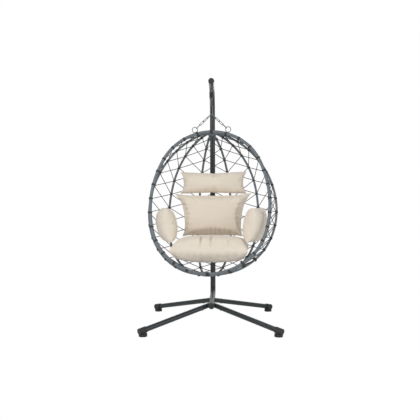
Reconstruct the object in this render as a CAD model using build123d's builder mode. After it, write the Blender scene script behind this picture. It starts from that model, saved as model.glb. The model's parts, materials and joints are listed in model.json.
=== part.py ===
from build123d import *
import os
from math import cos, pi, radians, sin, sqrt

# Hanging egg chair: a woven basket hung by chains and a spring from a bent pole
# on a four-legged base. Millimetres, +Z up, +Y to the back.
# The origin is the middle of the base on the floor.

os.makedirs("parts", exist_ok=True)

FIT = 0.2  # clearance between pieces that slide together
TOUCH = 0.2  # gap left between pieces that hang on each other

# Pole
POLE_R = 22.5
POLE_WALL = 2.0
POLE_Y = 460.0
RUN_Z = 165.0
TOE_Y = -190.0
TOE_BEND_R = 100.0
LOWER_TOP_Z = 600.0
MIDDLE_TOP_Z = 1120.0
SWAGE_LENGTH = 80.0
SWAGE_WALL = 2.0
TIP_Z = 1927.0
TIP_Y = -12.0
TOP_BEND_R = 220.0

# Legs and feet
LEG_R = 19.0
LEG_WALL = 1.5
LEG_JOINT_Y = 100.0
FOOT_REACH = 485.0
FOOT_AXIS_Z = 42.0
LEG_PAST_FOOT = 30.0
SPIGOT_R = LEG_R - LEG_WALL - FIT
SPIGOT_WALL = 2.0
SPIGOT_LENGTH = 120.0
LEG_SCREW_AT = 95.0
FOOT_SLEEVE_R = 23.5
FOOT_SLEEVE_BACK = 26.0
FOOT_SLEEVE_FRONT = 36.0
FOOT_PAD_R = 31.0
FOOT_PAD_HEIGHT = 20.0
FOOT_NECK_R = 24.0
FOOT_SLEEVE_ROUND = 5.0
FOOT_PAD_CHAMFER = 1.5

# Fasteners
BOLT_R = 4.0
BOLT_HEAD_R = 7.0
BOLT_HEAD_HEIGHT = 5.0
BOLT_HEAD_ROUND = 2.0
BOLT_TAIL = 2.0
NUT_HEX_R = 7.2
NUT_HEIGHT = 6.5
WASHER_R = 9.0
WASHER_HEIGHT = 1.6
SCREW_R = 3.0
SCREW_HEAD_R = 5.5
SCREW_HEAD_HEIGHT = 3.3
SCREW_LENGTH = 14.0
SCREW_NUT_R = 5.0
SCREW_NUT_HEIGHT = 5.0
SCREW_TAIL = 1.0
HOLE_FIT = 0.3

# End caps of the pole
CAP_R = 24.0
CAP_DOME = 8.0
CAP_ROUND = 6.4
CAP_PLUG_LENGTH = 16.0
CAP_PLUG_WALL = 2.5

# Hook under the pole's tip
HOOK_Y = 20.0
HOOK_WIRE_R = 4.0
HOOK_BOWL_R = 12.0
HOOK_BOWL_Z = 1876.0
HOOK_POINT_RISE = 7.0

# Spring hanger
YOKE_WIRE_R = 2.25
YOKE_HALF_WIDTH = 9.0
YOKE_FOOT = 16.5
YOKE_BEND_R = 4.0
YOKE_TURN = -10.0
COIL_R = 14.5
COIL_WIRE_R = 2.5
COIL_TURNS = 7
COIL_BOTTOM_Z = 1792.0
COIL_TOP_Z = 1848.0
LOWER_YOKE_EYE_Z = 1776.0

# Carabiner
CARABINER_WIRE_R = 3.0
CARABINER_END_R = 10.0
CARABINER_STRAIGHT = 24.0
CARABINER_TWIST = 60.0
GATE_R = 2.5
GATE_TONGUE = 2.6
GATE_SLOT = 3.2
GATE_PIN_R = 1.0
GATE_PIN_FIT = 0.05
PIN_PRESS_FIT = 0.01
GATE_PIN_SINK = 0.4

# Drop link and chains
LINK_WIRE_R = 2.5
DROP_LINK_END_R = 9.5
DROP_LINK_TWIST = 0.0
CHAIN_LINK_HALF = 22.5
CHAIN_LINK_END_R = 7.5
CHAIN_LINKS = 4
CHAIN_TWIST = 72.0
RING_WIRE_R = 3.0
RING_R = 21.5
RING_X = 134.0
RING_Z = 1544.0

# Basket: every tube is a meridian from the top hub to the bottom hub, bent to three
# tangent arcs. Each chart gives the first bend's radius, and the angles of the first
# and the last bend. The chord from hub to hub leans forward at the bottom.
HANG_TURN = -3.8
CHORD = 1157.0
CHORD_LEAN = 18.0
TOP_HUB_Z = 1528.0
RIM_CHART = (419.0, 64.0, 76.0)
SIDE_RIB_CHART = (566.0, 53.0, 73.0)
OUTER_RIB_CHART = (489.0, 73.0, 74.0)
INNER_RIB_CHART = (488.0, 62.0, 84.0)
SIDE_RIB_ANGLE = 24.6
OUTER_RIB_ANGLE = 42.5
INNER_RIB_ANGLE = 74.2
RIM_R = 13.0
RIM_WALL = 1.6
RIB_R = 9.0
RIB_WALL = 1.2
HUB_R = 62.0
HUB_THICKNESS = 16.0
STRAND_R = 2.7
KNOT_STEP = 115.7
KNOTS = 14
RIM_KNOTS = 13
STRAND_INSET = 8.0
WEAVE_GAP = 0.4

# Cushions: width, height and thickness, with the round of the corners and of the edges
SEAT_SIZE = (580.0, 400.0, 180.0)
SEAT_FRONT_ROUND = 195.0
SEAT_BACK_ROUND = 120.0
SEAT_EDGE = 70.0
SEAT_UNDER_EDGE = 105.0
SEAT_CENTRE = (0, -116.0, 602.0)
BACK_SIZE = (600.0, 345.0, 115.0)
BACK_FOOT_WIDTH = 470.0
BACK_CORNER = 50.0
BACK_EDGE = 48.0
BACK_CENTRE = (0, 128.0, 856.0)
BACK_LEAN = 10.0
HEAD_SIZE = (520.0, 165.0, 100.0)
HEAD_CORNER = 40.0
HEAD_EDGE = 42.0
HEAD_CENTRE = (0, 180.0, 1124.0)
HEAD_LEAN = 4.0
ARM_SIZE = (240.0, 235.0, 115.0)
ARM_CORNER = 90.0
ARM_EDGE = 48.0
ARM_CENTRE = (347.0, -95.0, 785.0)
ARM_LEAN = 8.0
ARM_TOE_IN = 14.0


def save(part, name):
    """Label a finished piece and write its STEP file."""
    part.label = name
    export_step(part, f"parts/{name}.step")


SWIVEL = Axis((0, HOOK_Y, 0), (0, 0, 1))


def hang(part):
    """Turn a piece of the hanging side about the hook's upright axis."""
    return part.rotate(SWIVEL, HANG_TURN)


# ---------------------------------------------------------------- stand
def leg_plane(side, end):
    """Plane at a leg's root on the pole, with +Z along the leg towards its foot."""
    root = Vector(0, end * LEG_JOINT_Y, RUN_Z)
    foot = Vector(side * FOOT_REACH, end * FOOT_REACH, FOOT_AXIS_Z)
    along = (foot - root).normalized()
    level = Vector(0, 0, 1).cross(along)
    return Plane(origin=root, x_dir=level, z_dir=along)


LEG_RUN = sqrt(FOOT_REACH**2 + (FOOT_REACH - LEG_JOINT_Y) ** 2 + (RUN_Z - FOOT_AXIS_Z) ** 2)
CORNERS = {
    "front_left": (-1, -1),
    "front_right": (1, -1),
    "rear_left": (-1, 1),
    "rear_right": (1, 1),
}
TOE_PLANE = Plane(origin=(0, TOE_Y, RUN_Z), x_dir=(1, 0, 0), z_dir=(0, 1, 0))
POLE_BORE_R = POLE_R - POLE_WALL
SWAGE_R = POLE_BORE_R - FIT
JOINT_BOLT_RISE = SWAGE_LENGTH / 2


def screw_plane(side, end):
    """Plane of a leg screw: on the leg's axis, with +Z pointing out of its underside."""
    leg = leg_plane(side, end)
    under = leg.z_dir.cross(leg.x_dir)
    under = under if under.Z < 0 else -under
    return Plane(origin=leg.origin + leg.z_dir * LEG_SCREW_AT, x_dir=leg.x_dir, z_dir=under)


def bolt_plane(level):
    """Plane of a pole joint's bolt, with +Z across the pole."""
    return Plane(origin=(0, POLE_Y, level + JOINT_BOLT_RISE), x_dir=(0, 1, 0), z_dir=(1, 0, 0))


with BuildPart() as lower_pole:
    with BuildLine() as toe_line:
        FilletPolyline(
            (0, TOE_Y, RUN_Z), (0, POLE_Y, RUN_Z), (0, POLE_Y, LOWER_TOP_Z), radius=TOE_BEND_R
        )
    with BuildSketch(TOE_PLANE):
        Circle(POLE_R)
    sweep(path=toe_line.line)
    for side, end in CORNERS.values():
        with BuildSketch(leg_plane(side, end)):
            Circle(SPIGOT_R)
        extrude(amount=SPIGOT_LENGTH)
    with BuildSketch(Plane.XY.offset(LOWER_TOP_Z)):
        with Locations((0, POLE_Y)):
            Circle(SWAGE_R)
    extrude(amount=SWAGE_LENGTH)
    for side, end in CORNERS.values():
        with BuildSketch(leg_plane(side, end)):
            Circle(SPIGOT_R - SPIGOT_WALL)
        extrude(amount=SPIGOT_LENGTH, mode=Mode.SUBTRACT)
        with BuildSketch(screw_plane(side, end)):
            Circle(SCREW_R + HOLE_FIT)
        extrude(amount=LEG_R, mode=Mode.SUBTRACT)
    with BuildSketch(TOE_PLANE):
        Circle(POLE_BORE_R)
    sweep(path=toe_line.line, mode=Mode.SUBTRACT)
    with BuildSketch(Plane.XY.offset(LOWER_TOP_Z - POLE_WALL)):
        with Locations((0, POLE_Y)):
            Circle(POLE_BORE_R)
            Circle(SWAGE_R - SWAGE_WALL, mode=Mode.SUBTRACT)
    extrude(amount=POLE_WALL)
    with BuildSketch(Plane.XY.offset(LOWER_TOP_Z)):
        with Locations((0, POLE_Y)):
            Circle(SWAGE_R - SWAGE_WALL)
    extrude(amount=SWAGE_LENGTH, mode=Mode.SUBTRACT)
    with BuildSketch(bolt_plane(LOWER_TOP_Z)):
        Circle(BOLT_R + HOLE_FIT)
    extrude(amount=POLE_R, both=True, mode=Mode.SUBTRACT)
save(lower_pole.part, "lower_pole")

with BuildPart() as middle_pole:
    with BuildSketch(Plane.XY.offset(LOWER_TOP_Z + TOUCH)):
        with Locations((0, POLE_Y)):
            Circle(POLE_R)
            Circle(POLE_BORE_R, mode=Mode.SUBTRACT)
    extrude(amount=MIDDLE_TOP_Z - LOWER_TOP_Z - TOUCH)
    with BuildSketch(Plane.XY.offset(MIDDLE_TOP_Z - POLE_WALL)):
        with Locations((0, POLE_Y)):
            Circle(SWAGE_R)
            Circle(SWAGE_R - SWAGE_WALL, mode=Mode.SUBTRACT)
    extrude(amount=SWAGE_LENGTH + POLE_WALL)
    with BuildSketch(Plane.XY.offset(MIDDLE_TOP_Z - POLE_WALL)):
        with Locations((0, POLE_Y)):
            Circle(POLE_BORE_R)
            Circle(SWAGE_R - SWAGE_WALL, mode=Mode.SUBTRACT)
    extrude(amount=POLE_WALL)
    for level in (LOWER_TOP_Z, MIDDLE_TOP_Z):
        with BuildSketch(bolt_plane(level)):
            Circle(BOLT_R + HOLE_FIT)
        extrude(amount=POLE_R, both=True, mode=Mode.SUBTRACT)
save(middle_pole.part, "middle_pole")

with BuildPart() as upper_pole:
    with BuildLine() as arch_line:
        FilletPolyline(
            (0, POLE_Y, MIDDLE_TOP_Z + TOUCH), (0, POLE_Y, TIP_Z), (0, TIP_Y, TIP_Z), radius=TOP_BEND_R
        )
    with BuildSketch(Plane.XY.offset(MIDDLE_TOP_Z + TOUCH)):
        with Locations((0, POLE_Y)):
            Circle(POLE_R)
            Circle(POLE_BORE_R, mode=Mode.SUBTRACT)
    sweep(path=arch_line.line)
    with BuildSketch(bolt_plane(MIDDLE_TOP_Z)):
        Circle(BOLT_R + HOLE_FIT)
    extrude(amount=POLE_R, both=True, mode=Mode.SUBTRACT)
save(upper_pole.part, "upper_pole")


def end_cap(mouth):
    """Plastic cap of an open pole end: a domed head on a hollow plug, on the mouth's plane."""
    with BuildPart() as cap:
        with BuildSketch(mouth):
            Circle(CAP_R)
        extrude(amount=CAP_DOME)
        rim = cap.edges().sort_by(lambda e: (e.center() - mouth.origin).dot(mouth.z_dir))[-1]
        fillet(rim, radius=CAP_ROUND)
        with BuildSketch(mouth):
            Circle(POLE_BORE_R - FIT)
            Circle(POLE_BORE_R - FIT - CAP_PLUG_WALL, mode=Mode.SUBTRACT)
        extrude(amount=-CAP_PLUG_LENGTH)
    return cap.part


for name, mouth_y, mouth_z in (("tip_cap", TIP_Y, TIP_Z), ("toe_cap", TOE_Y, RUN_Z)):
    save(end_cap(Plane(origin=(0, mouth_y, mouth_z), x_dir=(1, 0, 0), z_dir=(0, -1, 0))), name)

for corner, (side, end) in CORNERS.items():
    leg_at = leg_plane(side, end)
    with BuildPart() as leg:
        with BuildSketch(leg_at):
            Circle(LEG_R)
            Circle(LEG_R - LEG_WALL, mode=Mode.SUBTRACT)
        extrude(amount=LEG_RUN + LEG_PAST_FOOT)
        with BuildSketch(Plane.XZ.offset(-LEG_JOINT_Y * end)):
            with Locations((0, RUN_Z)):
                Circle(POLE_R + FIT)
        extrude(amount=LEG_JOINT_Y, both=True, mode=Mode.SUBTRACT)
        with BuildSketch(screw_plane(side, end)):
            Circle(SCREW_R + HOLE_FIT)
        extrude(amount=2 * LEG_R, mode=Mode.SUBTRACT)
    save(leg.part, f"leg_{corner}")

    foot_at = leg_at.offset(LEG_RUN)
    with BuildPart() as foot:
        with BuildSketch(foot_at.offset(-FOOT_SLEEVE_BACK)):
            Circle(FOOT_SLEEVE_R)
        extrude(amount=FOOT_SLEEVE_BACK + FOOT_SLEEVE_FRONT)
        sleeve_end = foot.edges().sort_by(lambda e: (e.center() - foot_at.origin).dot(foot_at.z_dir))[-1]
        fillet(sleeve_end, radius=FOOT_SLEEVE_ROUND)
        with BuildSketch(Plane.XY):
            with Locations((side * FOOT_REACH, end * FOOT_REACH)):
                Circle(FOOT_PAD_R)
        extrude(amount=FOOT_PAD_HEIGHT)
        with BuildSketch(Plane.XY.offset(FOOT_PAD_HEIGHT)):
            with Locations((side * FOOT_REACH, end * FOOT_REACH)):
                Circle(FOOT_NECK_R)
        extrude(amount=FOOT_AXIS_Z - FOOT_PAD_HEIGHT)
        with BuildSketch(foot_at.offset(-2 * FOOT_SLEEVE_BACK)):
            Circle(LEG_R + FIT)
        extrude(amount=2 * FOOT_SLEEVE_BACK + LEG_PAST_FOOT + FIT, mode=Mode.SUBTRACT)
        pad_edge = foot.edges().filter_by(GeomType.CIRCLE).group_by(Axis.Z)[0]
        chamfer(pad_edge, length=FOOT_PAD_CHAMFER)
    save(foot.part, f"foot_{corner}")

with BuildPart() as leg_screws:
    for side, end in CORNERS.values():
        seat = screw_plane(side, end).offset(LEG_R)
        with BuildSketch(seat):
            Circle(SCREW_HEAD_R)
        extrude(amount=SCREW_HEAD_HEIGHT)
        with BuildSketch(seat):
            Circle(SCREW_R)
        extrude(amount=-SCREW_LENGTH)
save(leg_screws.part, "leg_screws")

NUT_SINK = LEG_R - SCREW_LENGTH + SCREW_TAIL
with BuildPart() as leg_nuts:
    for side, end in CORNERS.values():
        with BuildSketch(screw_plane(side, end).offset(NUT_SINK)):
            RegularPolygon(SCREW_NUT_R, 6)
            Circle(SCREW_R + HOLE_FIT / 3, mode=Mode.SUBTRACT)
        extrude(amount=SCREW_NUT_HEIGHT)
save(leg_nuts.part, "leg_nuts")

BOLT_SEAT = POLE_R + WASHER_HEIGHT
with BuildPart() as pole_bolts:
    for level in (LOWER_TOP_Z, MIDDLE_TOP_Z):
        across = bolt_plane(level)
        with BuildSketch(across.offset(-BOLT_SEAT)):
            Circle(BOLT_HEAD_R)
        extrude(amount=-BOLT_HEAD_HEIGHT)
        with BuildSketch(across.offset(-BOLT_SEAT)):
            Circle(BOLT_R)
        extrude(amount=2 * BOLT_SEAT + NUT_HEIGHT + BOLT_TAIL)
    dome = pole_bolts.edges().filter_by(GeomType.CIRCLE).group_by(Axis.X)[0]
    fillet(dome, radius=BOLT_HEAD_ROUND)
save(pole_bolts.part, "pole_bolts")

with BuildPart() as pole_washers:
    for level in (LOWER_TOP_Z, MIDDLE_TOP_Z):
        for face in (-BOLT_SEAT, POLE_R):
            with BuildSketch(bolt_plane(level).offset(face)):
                Circle(WASHER_R)
                Circle(BOLT_R + HOLE_FIT / 3, mode=Mode.SUBTRACT)
            extrude(amount=WASHER_HEIGHT)
save(pole_washers.part, "pole_washers")

with BuildPart() as pole_nuts:
    for level in (LOWER_TOP_Z, MIDDLE_TOP_Z):
        with BuildSketch(bolt_plane(level).offset(BOLT_SEAT)):
            RegularPolygon(NUT_HEX_R, 6)
            Circle(BOLT_R + HOLE_FIT / 3, mode=Mode.SUBTRACT)
        extrude(amount=NUT_HEIGHT)
save(pole_nuts.part, "pole_nuts")

with BuildPart() as pole_hook:
    with BuildLine(Plane.XZ.offset(-HOOK_Y)) as hook_line:
        shank = Line((HOOK_BOWL_R, TIP_Z - POLE_R), (HOOK_BOWL_R, HOOK_BOWL_Z))
        bowl = JernArc((HOOK_BOWL_R, HOOK_BOWL_Z), (0, -1), HOOK_BOWL_R, -180)
        Line((-HOOK_BOWL_R, HOOK_BOWL_Z), (-HOOK_BOWL_R, HOOK_BOWL_Z + HOOK_POINT_RISE))
    with BuildSketch(Plane(origin=(HOOK_BOWL_R, HOOK_Y, TIP_Z - POLE_R), z_dir=(0, 0, -1))):
        Circle(HOOK_WIRE_R)
    sweep(path=hook_line.line)
    with BuildSketch(Plane(origin=(HOOK_BOWL_R, HOOK_Y, TIP_Z - POLE_R), z_dir=(0, 0, 1))):
        Circle(HOOK_WIRE_R)
    extrude(amount=POLE_R / 2)
    with BuildSketch(Plane.XZ):
        with Locations((0, TIP_Z)):
            Circle(POLE_R)
    extrude(amount=2 * HOOK_Y, both=True, mode=Mode.SUBTRACT)
save(pole_hook.part, "pole_hook")


# ---------------------------------------------------------------- spring hanger
def yoke(eye_z, foot_z, turned):
    """Wire yoke: an eye at one end, two legs through the coil, and feet turned outwards."""
    across = Vector(0, 1, 0) if turned else Vector(1, 0, 0)
    base = Plane(origin=(0, HOOK_Y, 0), x_dir=across, z_dir=across.cross(Vector(0, 0, 1)))
    up = 1 if eye_z > foot_z else -1
    with BuildPart() as wire:
        with BuildLine(base) as run:
            FilletPolyline(
                (-YOKE_FOOT, foot_z),
                (-YOKE_HALF_WIDTH, foot_z),
                (-YOKE_HALF_WIDTH, eye_z - up * YOKE_HALF_WIDTH),
                radius=YOKE_BEND_R,
            )
            JernArc(
                (-YOKE_HALF_WIDTH, eye_z - up * YOKE_HALF_WIDTH),
                (0, up),
                YOKE_HALF_WIDTH,
                -180 * up,
            )
            FilletPolyline(
                (YOKE_HALF_WIDTH, eye_z - up * YOKE_HALF_WIDTH),
                (YOKE_HALF_WIDTH, foot_z),
                (YOKE_FOOT, foot_z),
                radius=YOKE_BEND_R,
            )
        path = run.line
        with BuildSketch(Plane(origin=path @ 0, z_dir=path % 0)):
            Circle(YOKE_WIRE_R)
        sweep(path=path)
    return wire.part.rotate(SWIVEL, YOKE_TURN)


UPPER_EYE_Z = HOOK_BOWL_Z - HOOK_BOWL_R + HOOK_WIRE_R + YOKE_WIRE_R + TOUCH
UPPER_FOOT_Z = COIL_BOTTOM_Z - YOKE_WIRE_R - TOUCH
LOWER_FOOT_Z = COIL_TOP_Z + YOKE_WIRE_R + TOUCH
save(yoke(UPPER_EYE_Z, UPPER_FOOT_Z, turned=True), "spring_upper_yoke")
save(yoke(LOWER_YOKE_EYE_Z, LOWER_FOOT_Z, turned=False), "spring_lower_yoke")

with BuildPart() as spring_coil:
    coil_height = COIL_TOP_Z - COIL_BOTTOM_Z - 2 * COIL_WIRE_R
    with BuildLine() as coil_line:
        Helix(
            pitch=coil_height / COIL_TURNS,
            height=coil_height,
            radius=COIL_R,
            center=(0, HOOK_Y, COIL_BOTTOM_Z + COIL_WIRE_R),
        )
    with BuildSketch(Plane(origin=coil_line.line @ 0, z_dir=coil_line.line % 0)):
        Circle(COIL_WIRE_R)
    sweep(path=coil_line.line, is_frenet=True)
save(spring_coil.part, "spring_coil")


# ---------------------------------------------------------------- carabiner
def loop_line(end_r, half_length):
    """Closed path of a wire loop: two straight sides and two round ends, along local Y."""
    straight = half_length - end_r
    with BuildLine() as loop:
        Line((end_r, -straight), (end_r, straight))
        JernArc((end_r, straight), (0, 1), end_r, 180)
        Line((-end_r, straight), (-end_r, -straight))
        JernArc((-end_r, -straight), (0, -1), end_r, 180)
    return loop.line


def wire_loop(centre, along, twist, end_r, half_length, wire_r):
    """Closed wire loop with its length along a direction in the XZ plane, turned about it."""
    plane = Plane(origin=centre, x_dir=(along.Z, 0, -along.X), z_dir=(0, -1, 0))
    placed = plane.location * Rot(0, twist, 0)
    with BuildPart() as loop:
        path = loop_line(end_r, half_length).moved(placed)
        with BuildSketch(Plane(origin=path @ 0, z_dir=path % 0)):
            Circle(wire_r)
        sweep(path=path)
    return loop.part


DOWN = Vector(0, 0, -1)
CARABINER_HALF = CARABINER_STRAIGHT / 2 + CARABINER_END_R
CARABINER_Z = LOWER_YOKE_EYE_Z + YOKE_WIRE_R + CARABINER_WIRE_R + TOUCH - CARABINER_HALF
CARABINER_ANGLE = radians(CARABINER_TWIST)
CARABINER_PLANE = Plane(
    origin=(0, HOOK_Y, CARABINER_Z),
    x_dir=(cos(CARABINER_ANGLE), sin(CARABINER_ANGLE), 0),
    z_dir=(sin(CARABINER_ANGLE), -cos(CARABINER_ANGLE), 0),
)
GATE_HALF = CARABINER_STRAIGHT / 2

with BuildPart() as carabiner:
    with BuildLine(CARABINER_PLANE) as body_line:
        JernArc((CARABINER_END_R, GATE_HALF), (0, 1), CARABINER_END_R, 180)
        Line((-CARABINER_END_R, GATE_HALF), (-CARABINER_END_R, -GATE_HALF))
        JernArc((-CARABINER_END_R, -GATE_HALF), (0, -1), CARABINER_END_R, 180)
        Line((CARABINER_END_R, -GATE_HALF), (CARABINER_END_R, -GATE_HALF + 2 * GATE_R))
    body_path = body_line.line
    with BuildSketch(Plane(origin=body_path @ 0, z_dir=body_path % 0)):
        Circle(CARABINER_WIRE_R)
    sweep(path=body_path)
    fork = Plane(origin=CARABINER_PLANE.from_local_coords((CARABINER_END_R, -GATE_HALF + GATE_R, 0)),
                 x_dir=CARABINER_PLANE.x_dir, z_dir=CARABINER_PLANE.z_dir)
    with BuildSketch(fork):
        Rectangle(4 * GATE_R, 3 * GATE_R)
    extrude(amount=GATE_SLOT / 2, both=True, mode=Mode.SUBTRACT)
    with BuildSketch(fork):
        Circle(GATE_PIN_R)
    extrude(amount=CARABINER_WIRE_R, both=True, mode=Mode.SUBTRACT)
save(hang(carabiner.part), "carabiner_body")

with BuildPart() as gate:
    with BuildSketch(fork):
        Circle(GATE_R)
        with Locations((0, GATE_R)):
            Rectangle(2 * GATE_R, 2 * GATE_R)
        Circle(GATE_PIN_R + GATE_PIN_FIT, mode=Mode.SUBTRACT)
    extrude(amount=GATE_TONGUE / 2, both=True)
    with BuildSketch(
        Plane(origin=fork.from_local_coords((0, 2 * GATE_R, 0)), x_dir=fork.x_dir, z_dir=fork.y_dir)
    ):
        Circle(GATE_R)
    extrude(amount=CARABINER_STRAIGHT - 3 * GATE_R - TOUCH)
save(hang(gate.part), "carabiner_gate")

with BuildPart() as gate_pin:
    with BuildSketch(fork):
        Circle(GATE_PIN_R - PIN_PRESS_FIT)
    extrude(amount=CARABINER_WIRE_R - GATE_PIN_SINK, both=True)
save(hang(gate_pin.part), "carabiner_pin")

# ---------------------------------------------------------------- link and chains
# Each chain runs straight from the drop link's lower end to its ring.
DROP_TOP_Z = CARABINER_Z - CARABINER_HALF + CARABINER_WIRE_R + LINK_WIRE_R + TOUCH
DROP_SEAT = DROP_LINK_END_R - 2 * LINK_WIRE_R - 2 * TOUCH
RING_SEAT = RING_R - RING_WIRE_R - LINK_WIRE_R - 2 * TOUCH
LINK_PITCH = 2 * CHAIN_LINK_HALF - 2 * LINK_WIRE_R - 2 * TOUCH
CHAIN_SPAN = (CHAIN_LINKS - 1) * LINK_PITCH + 2 * CHAIN_LINK_HALF
CHAIN_REACH = DROP_SEAT + CHAIN_SPAN + RING_SEAT
CHAIN_COS = RING_X / CHAIN_REACH
CHAIN_SIN = sqrt(1 - CHAIN_COS**2)
DROP_END_Z = RING_Z + CHAIN_REACH * CHAIN_SIN
DROP_HALF = (DROP_TOP_Z - DROP_END_Z + DROP_LINK_END_R) / 2
DROP_CENTRE_Z = DROP_TOP_Z - DROP_HALF

drop_link = wire_loop(
    (0, HOOK_Y, DROP_CENTRE_Z), DOWN, DROP_LINK_TWIST, DROP_LINK_END_R, DROP_HALF, LINK_WIRE_R
)
save(hang(drop_link), "drop_link")

for name, side in (("chain_left", -1), ("chain_right", 1)):
    along = Vector(side * CHAIN_COS, 0, -CHAIN_SIN)
    start = Vector(0, HOOK_Y, DROP_END_Z) + along * (DROP_SEAT + CHAIN_LINK_HALF)
    links = [
        wire_loop(
            start + along * (n * LINK_PITCH),
            along,
            side * (n + 1) * CHAIN_TWIST,
            CHAIN_LINK_END_R,
            CHAIN_LINK_HALF,
            LINK_WIRE_R,
        )
        for n in range(CHAIN_LINKS)
    ]
    with BuildPart() as chain:
        add(links)
    save(hang(chain.part), name)

# ---------------------------------------------------------------- basket
LEAN = radians(CHORD_LEAN)
CHORD_DIR = Vector(0, -sin(LEAN), -cos(LEAN))
BACK_DIR = Vector(0, cos(LEAN), -sin(LEAN))
RING_DROP = RIM_CHART[0] - sqrt(RIM_CHART[0] ** 2 - RING_X**2)
TOP_HUB = Vector(0, HOOK_Y + RING_DROP * sin(LEAN), TOP_HUB_Z)
BOTTOM_HUB = TOP_HUB + CHORD_DIR * CHORD


def meridian(chart, angle, side):
    """Bent tube line from hub to hub: three tangent arcs in a half plane on the chord."""
    first_r, first_angle, last_angle = chart
    turn_1 = radians(first_angle)
    turn_2 = radians(180 - last_angle)
    # The middle and last radii close the curve on the bottom hub.
    out_2 = sin(turn_2) - sin(turn_1)
    down_2 = cos(turn_1) - cos(turn_2)
    out_3 = -sin(turn_2)
    down_3 = cos(turn_2) + 1
    out_gap = -first_r * sin(turn_1)
    down_gap = CHORD - first_r * (1 - cos(turn_1))
    scale = out_2 * down_3 - out_3 * down_2
    middle_r = (out_gap * down_3 - out_3 * down_gap) / scale
    last_r = (out_2 * down_gap - out_gap * down_2) / scale
    with BuildLine() as bend:
        first = JernArc((0, 0), (1, 0), first_r, -first_angle)
        middle = JernArc(first @ 1, first % 1, middle_r, first_angle + last_angle - 180)
        JernArc(middle @ 1, middle % 1, last_r, -last_angle)
    outward = Vector(side * cos(radians(angle)), 0, 0) + BACK_DIR * sin(radians(angle))
    plane = Plane(origin=TOP_HUB, x_dir=outward, z_dir=outward.cross(-CHORD_DIR))
    return bend.wire().moved(plane.location)


MERIDIANS = [
    ("rim_right", meridian(RIM_CHART, 0, 1)),
    ("rib_side_right", meridian(SIDE_RIB_CHART, SIDE_RIB_ANGLE, 1)),
    ("rib_outer_right", meridian(OUTER_RIB_CHART, OUTER_RIB_ANGLE, 1)),
    ("rib_inner_right", meridian(INNER_RIB_CHART, INNER_RIB_ANGLE, 1)),
    ("rib_inner_left", meridian(INNER_RIB_CHART, INNER_RIB_ANGLE, -1)),
    ("rib_outer_left", meridian(OUTER_RIB_CHART, OUTER_RIB_ANGLE, -1)),
    ("rib_side_left", meridian(SIDE_RIB_CHART, SIDE_RIB_ANGLE, -1)),
    ("rim_left", meridian(RIM_CHART, 0, -1)),
]

with BuildPart() as rim:
    rim_line = MERIDIANS[0][1]
    with BuildSketch(Plane(origin=rim_line @ 0, z_dir=rim_line % 0)):
        Circle(RIM_R)
        Circle(RIM_R - RIM_WALL, mode=Mode.SUBTRACT)
    sweep(path=rim_line)
    mirror(about=Plane.YZ)
save(hang(rim.part), "rim")

with BuildPart() as rim_solid:
    with BuildSketch(Plane(origin=rim_line @ 0, z_dir=rim_line % 0)):
        Circle(RIM_R)
    sweep(path=rim_line)
    mirror(about=Plane.YZ)


def hub(centre):
    """Half-round plate behind the rim that the ribs' ends meet."""
    with BuildPart() as plate:
        with BuildSketch(Plane(origin=centre, x_dir=(1, 0, 0), z_dir=CHORD_DIR).offset(-HUB_THICKNESS / 2)):
            Circle(HUB_R)
            with Locations((0, HUB_R)):
                Rectangle(2 * HUB_R, 2 * HUB_R, mode=Mode.SUBTRACT)
        extrude(amount=HUB_THICKNESS)
        add(rim_solid.part, mode=Mode.SUBTRACT)
    return plate.part


hubs = {"top_hub": hub(TOP_HUB), "bottom_hub": hub(BOTTOM_HUB)}
for name, plate in hubs.items():
    save(hang(plate), name)

for name, line in MERIDIANS[1:-1]:
    with BuildPart() as rib:
        with BuildSketch(Plane(origin=line @ 0, z_dir=line % 0)):
            Circle(RIB_R)
            Circle(RIB_R - RIB_WALL, mode=Mode.SUBTRACT)
        sweep(path=line)
        for centre in (TOP_HUB, BOTTOM_HUB):
            with BuildSketch(Plane(origin=centre, x_dir=(1, 0, 0), z_dir=CHORD_DIR)):
                Circle(HUB_R)
            extrude(amount=2 * RIB_R, both=True, mode=Mode.SUBTRACT)
    save(hang(rib.part), name)

for name, side in (("rim_ring_left", -1), ("rim_ring_right", 1)):
    with BuildPart() as ring:
        with BuildSketch(Plane(origin=(side * RING_X, HOOK_Y, RING_Z), x_dir=(1, 0, 0), z_dir=(0, 0, 1))):
            with Locations((RING_R, 0)):
                Circle(RING_WIRE_R)
        revolve(axis=Axis((side * RING_X, HOOK_Y, RING_Z), (0, 1, 0)))
    save(hang(ring.part), name)


def knot(line, index):
    """Centre of a knot, counted along a meridian from the top hub."""
    return line.position_at(index * KNOT_STEP, position_mode=PositionMode.LENGTH)


def strand(start, end):
    """Straight rattan strand between two knots, from inside one rib's skin to the other's."""
    along = (end - start).normalized()
    with BuildPart() as rod:
        with BuildSketch(Plane(origin=start + along * STRAND_INSET, z_dir=along)):
            RegularPolygon(STRAND_R, 6)
        extrude(amount=(end - start).length - 2 * STRAND_INSET)
    return rod.part


def crossing(a_start, a_end, b_start, b_end):
    """Two crossing strands, moved apart along their common normal until they just clear."""
    normal = (a_end - a_start).cross(b_end - b_start).normalized()
    gap = (b_start - a_start).dot(normal)
    shift = normal * ((2 * STRAND_R + WEAVE_GAP - gap) / 2)
    return [strand(a_start - shift, a_end - shift), strand(b_start + shift, b_end + shift)]


BAYS = [
    "weave_side_right",
    "weave_outer_right",
    "weave_inner_right",
    "weave_back",
    "weave_inner_left",
    "weave_outer_left",
    "weave_side_left",
]
for number, name in enumerate(BAYS):
    first = MERIDIANS[number][1]
    second = MERIDIANS[number + 1][1]
    last = RIM_KNOTS if "side" in name else KNOTS
    strands = []
    for index in range(1, last):
        upper = (knot(first, index), knot(second, index))
        lower = (knot(first, index + 1), knot(second, index + 1))
        strands += crossing(upper[0], lower[1], lower[0], upper[1])
    with BuildPart() as weave:
        add(strands)
    save(hang(weave.part), name)


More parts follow.
